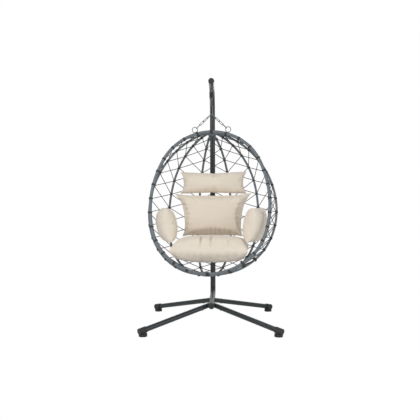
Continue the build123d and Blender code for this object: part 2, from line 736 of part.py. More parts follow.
# ---------------------------------------------------------------- cushions
def pad(plane, outline, thickness, corners, edge, back_edge=None):
    """Soft pad: an outline with rounded corners, thick about its plane, with rounded edges."""
    with BuildPart() as soft:
        with BuildSketch(plane) as face:
            with BuildLine():
                Polyline(*outline, close=True)
            make_face()
            for point, radius in zip(outline, corners):
                corner = face.vertices().sort_by_distance((*point, 0))[0]
                fillet(corner, radius=radius)
        extrude(amount=thickness / 2, both=True)
        for face_z, radius in ((thickness / 2, edge), (-thickness / 2, back_edge or edge)):
            level = [e for e in soft.edges() if abs(plane.to_local_coords(e @ 0).Z - face_z) < TOUCH]
            fillet(level, radius=radius)
    return soft.part


def box_outline(width, height, foot_width=None):
    """Four corners from the upper left, with the foot narrower or wider than the top."""
    half, foot = width / 2, (foot_width or width) / 2
    return [(-half, height / 2), (half, height / 2), (foot, -height / 2), (-foot, -height / 2)]


width, depth, thickness = SEAT_SIZE
seat = pad(
    Plane(origin=SEAT_CENTRE, x_dir=(1, 0, 0), z_dir=(0, 0, 1)),
    box_outline(width, depth),
    thickness,
    [SEAT_BACK_ROUND, SEAT_BACK_ROUND, SEAT_FRONT_ROUND, SEAT_FRONT_ROUND],
    SEAT_EDGE,
    SEAT_UNDER_EDGE,
)
save(hang(seat), "seat_cushion")


def upright(centre, lean):
    """Plane of a cushion that faces the front and leans back by an angle in degrees."""
    tilt = radians(lean)
    return Plane(origin=centre, x_dir=(1, 0, 0), z_dir=(0, -cos(tilt), sin(tilt)))


width, height, thickness = BACK_SIZE
back = pad(
    upright(BACK_CENTRE, BACK_LEAN),
    box_outline(width, height, BACK_FOOT_WIDTH),
    thickness,
    [BACK_CORNER] * 4,
    BACK_EDGE,
)
save(hang(back), "back_cushion")

width, height, thickness = HEAD_SIZE
head = pad(
    upright(HEAD_CENTRE, HEAD_LEAN), box_outline(width, height), thickness, [HEAD_CORNER] * 4, HEAD_EDGE
)
save(hang(head), "head_pillow")

for name, side in (("arm_cushion_left", -1), ("arm_cushion_right", 1)):
    width, height, thickness = ARM_SIZE
    facing = Plane(
        origin=(side * ARM_CENTRE[0], ARM_CENTRE[1], ARM_CENTRE[2]), x_dir=(0, 1, 0), z_dir=(1, 0, 0)
    ).rotated((0, side * ARM_LEAN, -side * ARM_TOE_IN))
    arm = pad(facing, box_outline(width, height), thickness, [ARM_CORNER] * 4, ARM_EDGE)
    save(hang(arm), name)
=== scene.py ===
"""Looks of the hanging egg chair: painted stand, woven basket, cream cushions and zinc hanger."""

import json
import logging
import math
from dataclasses import dataclass, field
from enum import Enum
from typing import Iterable, Sequence

import bmesh
import bpy
import numpy as np
from mathutils import Matrix, Vector

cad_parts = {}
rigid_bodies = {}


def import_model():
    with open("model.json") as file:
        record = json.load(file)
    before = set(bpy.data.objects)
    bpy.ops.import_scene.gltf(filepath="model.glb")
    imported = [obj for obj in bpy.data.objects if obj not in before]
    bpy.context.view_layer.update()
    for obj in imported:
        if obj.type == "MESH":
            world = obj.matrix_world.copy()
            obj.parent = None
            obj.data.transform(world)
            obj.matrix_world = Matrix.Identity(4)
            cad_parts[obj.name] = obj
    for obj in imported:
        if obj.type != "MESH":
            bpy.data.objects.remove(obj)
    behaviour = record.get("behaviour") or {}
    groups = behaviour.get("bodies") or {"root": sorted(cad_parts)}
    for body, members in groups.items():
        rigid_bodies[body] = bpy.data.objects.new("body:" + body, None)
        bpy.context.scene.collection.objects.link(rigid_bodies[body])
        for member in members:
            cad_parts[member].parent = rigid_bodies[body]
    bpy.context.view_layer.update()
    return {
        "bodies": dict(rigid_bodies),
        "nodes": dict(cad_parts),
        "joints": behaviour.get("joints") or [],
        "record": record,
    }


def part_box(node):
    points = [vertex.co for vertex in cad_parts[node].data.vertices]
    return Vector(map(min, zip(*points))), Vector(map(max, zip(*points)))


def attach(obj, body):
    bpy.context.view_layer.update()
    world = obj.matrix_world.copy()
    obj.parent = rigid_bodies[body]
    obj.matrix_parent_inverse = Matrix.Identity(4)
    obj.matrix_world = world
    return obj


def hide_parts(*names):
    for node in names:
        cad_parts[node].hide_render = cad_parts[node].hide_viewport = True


logging.basicConfig(level=logging.INFO, format="%(message)s")
LOG = logging.getLogger("egg_chair")

Colour = tuple[float, float, float]

# How far the basket hangs turned on its hook, in degrees.
HANG_TURN = -3.8
# Vertices of the frame's loose triangles that are closer than this are one point.
WELD_DISTANCE = 1e-5
# Strand ends this close together share a knot, and a tube's direction is read this far round one.
KNOT_REACH = 0.016
TUBE_REACH = 0.055
# The cloth swells over these frames.
SWELL_FRAMES = 20
# Room that a cushion may take past its block: a share of each side, and a margin.
SPARE_SHARE = 0.03
SPARE_MARGIN = 0.009


class Finish(Enum):
    """Finishes of the chair, by the record's material slot."""

    DARK_PAINT = "dark_paint"
    BLACK_PLASTIC = "black_plastic"
    ZINC = "zinc"
    SPRING_BLACK = "spring_black"
    BASKET_PAINT = "basket_paint"
    WEAVE = "weave_resin"
    CLOTH = "cream_cloth"


# ------------------------------------------------------------------ shader helpers
class Shader:
    """A material under construction, with one Principled BSDF and short ways to wire it."""

    def __init__(self, name: str) -> None:
        """Make the material.

        Args:
            name: the material's name.
        """
        self.material = bpy.data.materials.new(name)
        self.material.use_nodes = True
        self.tree = self.material.node_tree
        self.bsdf = self.tree.nodes["Principled BSDF"]

    def node(self, kind: str, **inputs: object) -> bpy.types.Node:
        """Add a node and set its inputs by name, with underscores for spaces.

        Args:
            kind: the node's type.
            **inputs: values of its inputs.

        Returns:
            The new node.
        """
        node = self.tree.nodes.new(kind)
        for key, value in inputs.items():
            node.inputs[key.replace("_", " ")].default_value = value
        return node

    def link(self, source: bpy.types.NodeSocket, target: bpy.types.NodeSocket) -> None:
        """Wire one socket to another."""
        self.tree.links.new(source, target)

    def place(self) -> bpy.types.NodeSocket:
        """Return the object coordinates."""
        return self.tree.nodes.new("ShaderNodeTexCoord").outputs["Object"]

    def group(self, tree: bpy.types.NodeTree, **inputs: object) -> bpy.types.Node:
        """Place a shared effect and set its inputs by name."""
        node = self.tree.nodes.new("ShaderNodeGroup")
        node.node_tree = tree
        for key, value in inputs.items():
            node.inputs[key.replace("_", " ")].default_value = value
        return node


class ColourMix:
    """A mix node set to colours, with its sockets by name."""

    def __init__(self, tree: bpy.types.NodeTree) -> None:
        """Add the node to a tree."""
        node = tree.nodes.new("ShaderNodeMix")
        node.data_type = "RGBA"
        self.node = node
        self.factor = next(s for s in node.inputs if s.identifier == "Factor_Float")
        self.first = next(s for s in node.inputs if s.identifier == "A_Color")
        self.second = next(s for s in node.inputs if s.identifier == "B_Color")
        self.result = next(s for s in node.outputs if s.identifier == "Result_Color")


def new_group(
    name: str, inputs: Sequence[tuple[str, str, object]], outputs: Sequence[tuple[str, str]]
) -> tuple[bpy.types.NodeTree, bpy.types.Node, bpy.types.Node]:
    """Start a shader group with named sockets.

    Args:
        name: the group's name.
        inputs: name, socket type and default of each input.
        outputs: name and socket type of each output.

    Returns:
        The tree, its input node and its output node.
    """
    tree = bpy.data.node_groups.new(name, "ShaderNodeTree")
    for label, kind, value in inputs:
        socket = tree.interface.new_socket(label, in_out="INPUT", socket_type=kind)
        if value is not None:
            socket.default_value = value
    for label, kind in outputs:
        tree.interface.new_socket(label, in_out="OUTPUT", socket_type=kind)
    return tree, tree.nodes.new("NodeGroupInput"), tree.nodes.new("NodeGroupOutput")


def mottle_group() -> bpy.types.NodeTree:
    """Two colours mixed by layered noise, with a matching height and roughness.

    Returns:
        The shared group.
    """
    tree, given, out = new_group(
        "Mottle",
        [
            ("Vector", "NodeSocketVector", None),
            ("Base", "NodeSocketColor", (0.5, 0.5, 0.5, 1)),
            ("Worn", "NodeSocketColor", (0.6, 0.6, 0.6, 1)),
            ("Scale", "NodeSocketFloat", 20.0),
            ("Amount", "NodeSocketFloat", 0.3),
            ("Roughness", "NodeSocketFloat", 0.4),
            ("Roughness Swing", "NodeSocketFloat", 0.1),
        ],
        [("Color", "NodeSocketColor"), ("Roughness", "NodeSocketFloat"), ("Height", "NodeSocketFloat")],
    )
    broad = tree.nodes.new("ShaderNodeTexNoise")
    fine = tree.nodes.new("ShaderNodeTexNoise")
    broad.inputs["Detail"].default_value = 6.0
    fine.inputs["Detail"].default_value = 3.0
    finer = tree.nodes.new("ShaderNodeMath")
    finer.operation = "MULTIPLY"
    finer.inputs[1].default_value = 14.0
    tree.links.new(given.outputs["Scale"], finer.inputs[0])
    tree.links.new(given.outputs["Vector"], broad.inputs["Vector"])
    tree.links.new(given.outputs["Vector"], fine.inputs["Vector"])
    tree.links.new(given.outputs["Scale"], broad.inputs["Scale"])
    tree.links.new(finer.outputs[0], fine.inputs["Scale"])
    share = tree.nodes.new("ShaderNodeMath")
    share.operation = "MULTIPLY"
    tree.links.new(broad.outputs["Fac"], share.inputs[0])
    tree.links.new(given.outputs["Amount"], share.inputs[1])
    mix = ColourMix(tree)
    tree.links.new(share.outputs[0], mix.factor)
    tree.links.new(given.outputs["Base"], mix.first)
    tree.links.new(given.outputs["Worn"], mix.second)
    swing = tree.nodes.new("ShaderNodeMath")
    swing.operation = "MULTIPLY_ADD"
    tree.links.new(broad.outputs["Fac"], swing.inputs[0])
    tree.links.new(given.outputs["Roughness Swing"], swing.inputs[1])
    tree.links.new(given.outputs["Roughness"], swing.inputs[2])
    tree.links.new(mix.result, out.inputs["Color"])
    tree.links.new(swing.outputs[0], out.inputs["Roughness"])
    tree.links.new(fine.outputs["Fac"], out.inputs["Height"])
    return tree


def weave_group() -> bpy.types.NodeTree:
    """Plain cloth weave: two crossed sets of threads in object space, as height and shade.

    Returns:
        The shared group.
    """
    tree, given, out = new_group(
        "Plain Weave",
        [("Vector", "NodeSocketVector", None), ("Threads", "NodeSocketFloat", 700.0)],
        [("Height", "NodeSocketFloat"), ("Shade", "NodeSocketFloat")],
    )
    scaled = tree.nodes.new("ShaderNodeVectorMath")
    scaled.operation = "SCALE"
    tree.links.new(given.outputs["Vector"], scaled.inputs[0])
    tree.links.new(given.outputs["Threads"], scaled.inputs["Scale"])
    split = tree.nodes.new("ShaderNodeSeparateXYZ")
    tree.links.new(scaled.outputs[0], split.inputs[0])
    waves = []
    for axis in ("X", "Y", "Z"):
        wave = tree.nodes.new("ShaderNodeMath")
        wave.operation = "SINE"
        tree.links.new(split.outputs[axis], wave.inputs[0])
        waves.append(wave)
    flat = tree.nodes.new("ShaderNodeMath")
    flat.operation = "ADD"
    tree.links.new(waves[0].outputs[0], flat.inputs[0])
    tree.links.new(waves[1].outputs[0], flat.inputs[1])
    crossed = tree.nodes.new("ShaderNodeMath")
    crossed.operation = "MULTIPLY"
    tree.links.new(flat.outputs[0], crossed.inputs[0])
    tree.links.new(waves[2].outputs[0], crossed.inputs[1])
    shade = tree.nodes.new("ShaderNodeMath")
    shade.operation = "MULTIPLY_ADD"
    shade.inputs[1].default_value = 0.25
    shade.inputs[2].default_value = 0.5
    tree.links.new(crossed.outputs[0], shade.inputs[0])
    tree.links.new(shade.outputs[0], out.inputs["Shade"])
    tree.links.new(crossed.outputs[0], out.inputs["Height"])
    return tree


@dataclass(frozen=True)
class CoatedMetal:
    """Painted or plated metal, or plain plastic: mottled colour, roughness and a fine grain."""

    slot: Finish
    base: Colour
    worn: Colour
    roughness: float
    swing: float = 0.08
    metallic: float = 0.0
    coat: float = 0.0
    scale: float = 18.0
    amount: float = 0.5
    grain: float = 0.0004

    def build(self, mottle: bpy.types.NodeTree) -> bpy.types.Material:
        """Make the material.

        Args:
            mottle: the shared mottle group.

        Returns:
            The finished material.
        """
        shader = Shader(self.slot.value)
        effect = shader.group(
            mottle,
            Base=(*self.base, 1),
            Worn=(*self.worn, 1),
            Scale=self.scale,
            Amount=self.amount,
            Roughness=self.roughness,
            Roughness_Swing=self.swing,
        )
        shader.link(shader.place(), effect.inputs["Vector"])
        bump = shader.node("ShaderNodeBump", Distance=self.grain, Strength=0.5)
        shader.link(effect.outputs["Height"], bump.inputs["Height"])
        shader.link(effect.outputs["Color"], shader.bsdf.inputs["Base Color"])
        shader.link(effect.outputs["Roughness"], shader.bsdf.inputs["Roughness"])
        shader.link(bump.outputs["Normal"], shader.bsdf.inputs["Normal"])
        shader.bsdf.inputs["Metallic"].default_value = self.metallic
        shader.bsdf.inputs["Coat Weight"].default_value = self.coat
        shader.bsdf.inputs["Coat Roughness"].default_value = 0.15
        return shader.material


@dataclass(frozen=True)
class ResinStrip:
    """Flat resin strip wound into a strand: rough, mottled brown-black with a fine grain."""

    slot: Finish
    base: Colour
    worn: Colour
    roughness: float = 0.55

    def build(self, mottle: bpy.types.NodeTree) -> bpy.types.Material:
        """Make the material.

        Args:
            mottle: the shared mottle group.

        Returns:
            The finished material.
        """
        shader = Shader(self.slot.value)
        effect = shader.group(
            mottle,
            Base=(*self.base, 1),
            Worn=(*self.worn, 1),
            Scale=60.0,
            Amount=0.9,
            Roughness=self.roughness,
            Roughness_Swing=0.2,
        )
        shader.link(shader.place(), effect.inputs["Vector"])
        bump = shader.node("ShaderNodeBump", Distance=0.0006, Strength=0.7)
        shader.link(effect.outputs["Height"], bump.inputs["Height"])
        shader.link(effect.outputs["Color"], shader.bsdf.inputs["Base Color"])
        shader.link(effect.outputs["Roughness"], shader.bsdf.inputs["Roughness"])
        shader.link(bump.outputs["Normal"], shader.bsdf.inputs["Normal"])
        return shader.material


@dataclass(frozen=True)
class PolyesterCloth:
    """Cream polyester: fine plain weave, faint slubs and a soft sheen."""

    slot: Finish
    base: Colour
    shadow: Colour
    threads: float = 1500.0

    def build(self, weave: bpy.types.NodeTree) -> bpy.types.Material:
        """Make the material.

        Args:
            weave: the shared weave group.

        Returns:
            The finished material.
        """
        shader = Shader(self.slot.value)
        place = shader.place()
        threads = shader.group(weave, Threads=self.threads)
        shader.link(place, threads.inputs["Vector"])
        slubs = shader.node("ShaderNodeTexNoise", Scale=9.0, Detail=5.0)
        shader.link(place, slubs.inputs["Vector"])
        blend = shader.node("ShaderNodeMath")
        blend.operation = "MULTIPLY"
        shader.link(threads.outputs["Shade"], blend.inputs[0])
        shader.link(slubs.outputs["Fac"], blend.inputs[1])
        tint = ColourMix(shader.tree)
        tint.first.default_value = (*self.base, 1)
        tint.second.default_value = (*self.shadow, 1)
        shader.link(blend.outputs[0], tint.factor)
        bump = shader.node("ShaderNodeBump", Distance=0.0003, Strength=0.35)
        shader.link(threads.outputs["Height"], bump.inputs["Height"])
        creases = shader.node("ShaderNodeTexNoise", Scale=26.0, Detail=4.0, Distortion=0.6)
        shader.link(place, creases.inputs["Vector"])
        soft = shader.node("ShaderNodeBump", Distance=0.004, Strength=0.22)
        shader.link(creases.outputs["Fac"], soft.inputs["Height"])
        shader.link(bump.outputs["Normal"], soft.inputs["Normal"])
        shader.link(tint.result, shader.bsdf.inputs["Base Color"])
        shader.link(soft.outputs["Normal"], shader.bsdf.inputs["Normal"])
        shader.bsdf.inputs["Roughness"].default_value = 0.85
        shader.bsdf.inputs["Sheen Weight"].default_value = 0.25
        shader.bsdf.inputs["Sheen Roughness"].default_value = 0.5
        shader.bsdf.inputs["Specular IOR Level"].default_value = 0.25
        return shader.material


def build_finishes() -> dict[Finish, bpy.types.Material]:
    """Make every finish of the chair once.

    Returns:
        The materials by finish.
    """
    mottle = mottle_group()
    weave = weave_group()
    coats = [
        CoatedMetal(Finish.DARK_PAINT, (0.012, 0.017, 0.021), (0.028, 0.036, 0.042), 0.30, coat=0.2),
        CoatedMetal(Finish.BLACK_PLASTIC, (0.018, 0.018, 0.019), (0.035, 0.035, 0.036), 0.48, grain=0.0008),
        CoatedMetal(Finish.ZINC, (0.17, 0.175, 0.18), (0.30, 0.30, 0.30), 0.38, metallic=0.55, scale=60.0),
        CoatedMetal(Finish.SPRING_BLACK, (0.012, 0.012, 0.013), (0.03, 0.03, 0.032), 0.30, coat=0.3),
        CoatedMetal(Finish.BASKET_PAINT, (0.115, 0.140, 0.160), (0.165, 0.195, 0.215), 0.40, coat=0.15),
    ]
    finishes = {coat.slot: coat.build(mottle) for coat in coats}
    strip = ResinStrip(Finish.WEAVE, (0.030, 0.028, 0.027), (0.085, 0.075, 0.067))
    finishes[Finish.WEAVE] = strip.build(mottle)
    cloth = PolyesterCloth(Finish.CLOTH, (0.82, 0.745, 0.64), (0.72, 0.62, 0.50))
    finishes[Finish.CLOTH] = cloth.build(weave)
    return finishes


# ------------------------------------------------------------------ mesh helpers
def mesh_object(
    name: str,
    points: Iterable[Sequence[float]],
    edges: Sequence[Sequence[int]],
    faces: Sequence[Sequence[int]],
) -> bpy.types.Object:
    """Make a mesh object at the origin.

    Args:
        name: the object's name.
        points: vertex positions in metres.
        edges: pairs of vertex numbers.
        faces: rings of vertex numbers.

    Returns:
        The new object.
    """
    mesh = bpy.data.meshes.new(name)
    mesh.from_pydata([tuple(p) for p in points], edges, faces)
    mesh.update()
    made = bpy.data.objects.new(name, mesh)
    bpy.context.scene.collection.objects.link(made)
    return made


def coordinates(mesh: bpy.types.Mesh) -> np.ndarray:
    """Return a mesh's vertices as an array of rows."""
    flat = np.empty(len(mesh.vertices) * 3, np.float32)
    mesh.vertices.foreach_get("co", flat)
    return flat.reshape(-1, 3).astype(float)


def set_coordinates(mesh: bpy.types.Mesh, points: np.ndarray) -> None:
    """Write an array of rows back to a mesh's vertices."""
    mesh.vertices.foreach_set("co", points.astype(np.float32).ravel())
    mesh.update()


def bake(source: bpy.types.Object, name: str) -> bpy.types.Object:
    """Turn an object's evaluated result into a plain mesh object and remove the source.

    Args:
        source: the object with live modifiers.
        name: the name of the baked piece.

    Returns:
        The baked object, at the origin.
    """
    bpy.context.view_layer.update()
    graph = bpy.context.evaluated_depsgraph_get()
    mesh = bpy.data.meshes.new_from_object(source.evaluated_get(graph), depsgraph=graph)
    mesh.name = name
    baked = bpy.data.objects.new(name, mesh)
    bpy.context.scene.collection.objects.link(baked)
    bpy.data.objects.remove(source)
    return baked


def smooth(target: bpy.types.Object) -> None:
    """Shade every face smooth."""
    target.data.polygons.foreach_set("use_smooth", [True] * len(target.data.polygons))


def islands(mesh: bpy.types.Mesh) -> list[np.ndarray]:
    """Split a CAD mesh into the vertex clouds of its separate solids.

    Args:
        mesh: a mesh of loose triangles.

    Returns:
        One array of points for each solid.
    """
    copy = bmesh.new()
    copy.from_mesh(mesh)
    bmesh.ops.remove_doubles(copy, verts=copy.verts, dist=WELD_DISTANCE)
    copy.verts.ensure_lookup_table()
    seen: set[int] = set()
    found = []
    for start in copy.verts:
        if start.index in seen:
            continue
        stack, cloud = [start], []
        seen.add(start.index)
        while stack:
            vert = stack.pop()
            cloud.append(tuple(vert.co))
            for edge in vert.link_edges:
                other = edge.other_vert(vert)
                if other.index not in seen:
                    seen.add(other.index)
                    stack.append(other)
        found.append(np.array(cloud))
    copy.free()
    return found


class NodeBuilder:
    """A Geometry Nodes tree with short ways to add and wire nodes."""

    def __init__(self, name: str, inputs: Sequence[tuple[str, str, object]]) -> None:
        """Start the tree.

        Args:
            name: the tree's name.
            inputs: name, socket type and default of each input after the geometry.
        """
        self.tree = bpy.data.node_groups.new(name, "GeometryNodeTree")
        face = self.tree.interface
        face.new_socket("Geometry", in_out="INPUT", socket_type="NodeSocketGeometry")
        self.sockets: dict[str, str] = {}
        for label, kind, value in inputs:
            socket = face.new_socket(label, in_out="INPUT", socket_type=kind)
            if value is not None:
                socket.default_value = value
            self.sockets[label] = socket.identifier
        face.new_socket("Geometry", in_out="OUTPUT", socket_type="NodeSocketGeometry")
        self.given = self.tree.nodes.new("NodeGroupInput")
        self.out = self.tree.nodes.new("NodeGroupOutput")

    def add(self, kind: str, **values: object) -> bpy.types.Node:
        """Add a node and set its properties or inputs by name."""
        node = self.tree.nodes.new(kind)
        for key, value in values.items():
            label = key.replace("_", " ")
            if hasattr(node, key) and label not in node.inputs:
                setattr(node, key, value)
            else:
                node.inputs[label].default_value = value
        return node

    def wire(self, source: bpy.types.NodeSocket, target: bpy.types.NodeSocket) -> None:
        """Wire one socket to another."""
        self.tree.links.new(source, target)

    def maths(
        self, operation: str, first: object, second: object = None, third: object = None
    ) -> bpy.types.NodeSocket:
        """Add a maths node on sockets or numbers.

        Args:
            operation: the maths operation.
            first: a socket or a number.
            second: a socket or a number.
            third: a socket or a number.

        Returns:
            The result's socket.
        """
        node = self.tree.nodes.new("ShaderNodeMath")
        node.operation = operation
        for slot, value in enumerate((first, second, third)):
            if isinstance(value, bpy.types.NodeSocket):
                self.wire(value, node.inputs[slot])
            elif value is not None:
                node.inputs[slot].default_value = value
        return node.outputs[0]

    def close(self, geometry: bpy.types.NodeSocket, material: bpy.types.Material) -> None:
        """End the tree in Realize Instances and Set Material."""
        realize = self.tree.nodes.new("GeometryNodeRealizeInstances")
        dress = self.tree.nodes.new("GeometryNodeSetMaterial")
        dress.inputs["Material"].default_value = material
        self.wire(geometry, realize.inputs[0])
        self.wire(realize.outputs[0], dress.inputs["Geometry"])
        self.wire(dress.outputs[0], self.out.inputs[0])

    def run(self, source: bpy.types.Object, name: str, **values: object) -> bpy.types.Object:
        """Apply the tree to a source mesh and bake it.

        Args:
            source: the mesh the tree works on; it is removed.
            name: the baked piece's name.
            **values: inputs by name, with underscores for spaces.

        Returns:
            The baked piece.
        """
        modifier = source.modifiers.new("nodes", "NODES")
        modifier.node_group = self.tree
        for key, value in values.items():
            modifier[self.sockets[key.replace("_", " ")]] = value
        piece = bake(source, name)
        smooth(piece)
        return piece


def wound_strand_tree(material: bpy.types.Material) -> NodeBuilder:
    """Tree that turns edges into strands wound with strip, whose skin steps at every turn.

    Args:
        material: the strip's finish.

    Returns:
        The tree builder.
    """
    tree = NodeBuilder(
        "Wound Strand",
        [
            ("Radius", "NodeSocketFloat", 0.0024),
            ("Turn Pitch", "NodeSocketFloat", 0.008),
            ("Step", "NodeSocketFloat", 0.16),
            ("Spacing", "NodeSocketFloat", 0.004),
        ],
    )
    curve = tree.add("GeometryNodeMeshToCurve")
    tree.wire(tree.given.outputs["Geometry"], curve.inputs["Mesh"])
    spaced = tree.add("GeometryNodeResampleCurve", mode="LENGTH")
    tree.wire(curve.outputs[0], spaced.inputs["Curve"])
    tree.wire(tree.given.outputs["Spacing"], spaced.inputs["Length"])
    along = tree.add("GeometryNodeSplineParameter")
    turns = tree.maths("DIVIDE", along.outputs["Length"], tree.given.outputs["Turn Pitch"])
    saw = tree.maths("FRACT", turns)
    lift = tree.maths("MULTIPLY_ADD", saw, tree.given.outputs["Step"], 1.0)
    radius = tree.maths("MULTIPLY", lift, tree.given.outputs["Radius"])
    ring = tree.add("GeometryNodeCurvePrimitiveCircle", Resolution=7, Radius=1.0)
    skin = tree.add("GeometryNodeCurveToMesh")
    skin.inputs["Fill Caps"].default_value = True
    tree.wire(spaced.outputs[0], skin.inputs["Curve"])
    tree.wire(ring.outputs[0], skin.inputs["Profile Curve"])
    tree.wire(radius, skin.inputs["Scale"])
    tree.close(skin.outputs[0], material)
    return tree


@dataclass(frozen=True)
class Wrap:
    """A short coil of strip wound round a tube."""

    centre: Vector
    along: Vector
    tube: float
    turns: float = 3.5
    length: float = 0.015
    clearance: float = 0.0012
    steps: int = 14

    def line(self) -> list[Vector]:
        """Return the points of the coil's centre line."""
        side = self.along.orthogonal().normalized()
        other = self.along.cross(side).normalized()
        reach = self.tube + self.clearance
        points = []
        for index in range(int(self.turns * self.steps) + 1):
            share = index / (self.turns * self.steps)
            angle = share * self.turns * math.tau
            radial = side * math.cos(angle) + other * math.sin(angle)
            points.append(self.centre + radial * reach + self.along * self.length * (share - 0.5))
        return points


# ------------------------------------------------------------------ basket
@dataclass
class Basket:
    """The wound strands and wraps that lace the egg's painted tubes."""

    frame: dict
    finishes: dict[Finish, bpy.types.Material]
    bays: tuple[str, ...] = (
        "weave_side_right",
        "weave_outer_right",
        "weave_inner_right",
        "weave_back",
        "weave_inner_left",
        "weave_outer_left",
        "weave_side_left",
    )
    strand_radius: float = 0.0027
    strand_inset: float = 0.008
    rim_radius: float = 0.013
    rib_radius: float = 0.009
    wrap_radius: float = 0.0021
    wrap_step: float = 0.05
    wrap_spacing: float = 0.0042
    lashing_turns: float = 6.0
    lashing_length: float = 0.026
    lashing_half_slice: float = 0.012
    lashing_depth: float = 0.03

    def strand_ends(self) -> list[tuple[Vector, Vector]]:
        """Read each strand's ends off the frame's plain strands.

        Returns:
            Pairs of end points, carried on to the tubes' centre lines.
        """
        ends = []
        for bay in self.bays:
            for cloud in islands(self.frame["nodes"][bay].data):
                middle = cloud.mean(0)
                axes = np.linalg.svd(cloud - middle)[2]
                reach = (cloud - middle) @ axes[0]
                first = middle + axes[0] * (reach.min() - self.strand_inset)
                last = middle + axes[0] * (reach.max() + self.strand_inset)
                ends.append((Vector(first), Vector(last)))
        return ends

    def knots(self, ends: list[tuple[Vector, Vector]]) -> list[Vector]:
        """Gather the strand ends that meet at one place on a tube.

        Args:
            ends: every strand's two ends.

        Returns:
            The middle of each meeting place.
        """
        groups: list[list[Vector]] = []
        for point in (p for pair in ends for p in pair):
            near = [g for g in groups if (sum(g, Vector()) / len(g) - point).length < KNOT_REACH]
            if near:
                near[0].append(point)
            else:
                groups.append([point])
        return [sum(g, Vector()) / len(g) for g in groups]

    def tangents(self, knots: list[Vector]) -> list[tuple[Vector, str]]:
        """Find the tube at each knot and its direction there.

        Args:
            knots: the knots.

        Returns:
            A unit direction and the tube's name for each knot.
        """
        names = [n for n in self.frame["nodes"] if n == "rim" or n.startswith("rib_")]
        clouds = {n: coordinates(self.frame["nodes"][n].data) for n in names}
        found = []
        for knot in knots:
            spot = np.array(knot)
            best = min(names, key=lambda n: np.min(np.sum((clouds[n] - spot) ** 2, axis=1)))
            cloud = clouds[best]
            near = cloud[np.sum((cloud - spot) ** 2, axis=1) < TUBE_REACH**2]
            axes = np.linalg.svd(near - near.mean(0), full_matrices=False)[2]
            found.append((Vector(axes[0]).normalized(), best))
        return found

    def weave(self, tree: NodeBuilder, ends: list[tuple[Vector, Vector]]) -> None:
        """Build the wound strands that stand for every bay's plain rods.

        Args:
            tree: the wound strand tree.
            ends: every strand's two ends.
        """
        points = [p for pair in ends for p in pair]
        edges = [(2 * i, 2 * i + 1) for i in range(len(ends))]
        source = mesh_object("strand_lines", points, edges, [])
        piece = tree.run(source, "wound_strands", Radius=self.strand_radius)
        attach(piece, "basket")
        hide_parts(*self.bays)

    def lashings(self) -> list[Wrap]:
        """Return the broad wraps that bind the rim at the two hubs."""
        found = []
        for node, end in (("top_hub", 1), ("bottom_hub", -1)):
            low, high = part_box(node)
            middle = (low + high) / 2
            rim = coordinates(self.frame["nodes"]["rim"].data)
            near = rim[np.abs(rim[:, 0] - middle.x) < self.lashing_half_slice]
            near = near[near[:, 2] * end > middle.z * end - self.lashing_depth]
            centre = Vector(near.mean(0))
            along = heading((1, 0, 0))
            found.append(Wrap(centre, along, self.rim_radius, self.lashing_turns, self.lashing_length))
        return found

    def wraps(self, tree: NodeBuilder, ends: list[tuple[Vector, Vector]]) -> None:
        """Build the wraps of strip that tie the strands to the tubes.

        Args:
            tree: the wound strand tree.
            ends: every strand's two ends.
        """
        knots = self.knots(ends)
        coils = self.lashings()
        for knot, (way, name) in zip(knots, self.tangents(knots)):
            coils.append(Wrap(knot, way, self.rim_radius if name == "rim" else self.rib_radius))
        points: list[Vector] = []
        edges: list[tuple[int, int]] = []
        for coil in coils:
            line = coil.line()
            edges += [(len(points) + i, len(points) + i + 1) for i in range(len(line) - 1)]
            points += line
        source = mesh_object("wrap_lines", points, edges, [])
        piece = tree.run(
            source,
            "rib_wraps",
            Radius=self.wrap_radius,
            Step=self.wrap_step,
            Spacing=self.wrap_spacing,
        )
        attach(piece, "basket")
        LOG.info("basket: %d knots", len(knots))

    def build(self) -> None:
        """Build every piece of the basket."""
        ends = self.strand_ends()
        tree = wound_strand_tree(self.finishes[Finish.WEAVE])
        self.weave(tree, ends)
        self.wraps(tree, ends)


# ------------------------------------------------------------------ cushions
@dataclass(frozen=True)
class Crease:
    """A straight crease in a cushion's face, from one place to another in face units of -1 to 1."""

    start: tuple[float, float]
    end: tuple[float, float]
    depth: float
    width: float = 0.06
    puff: float = 0.4


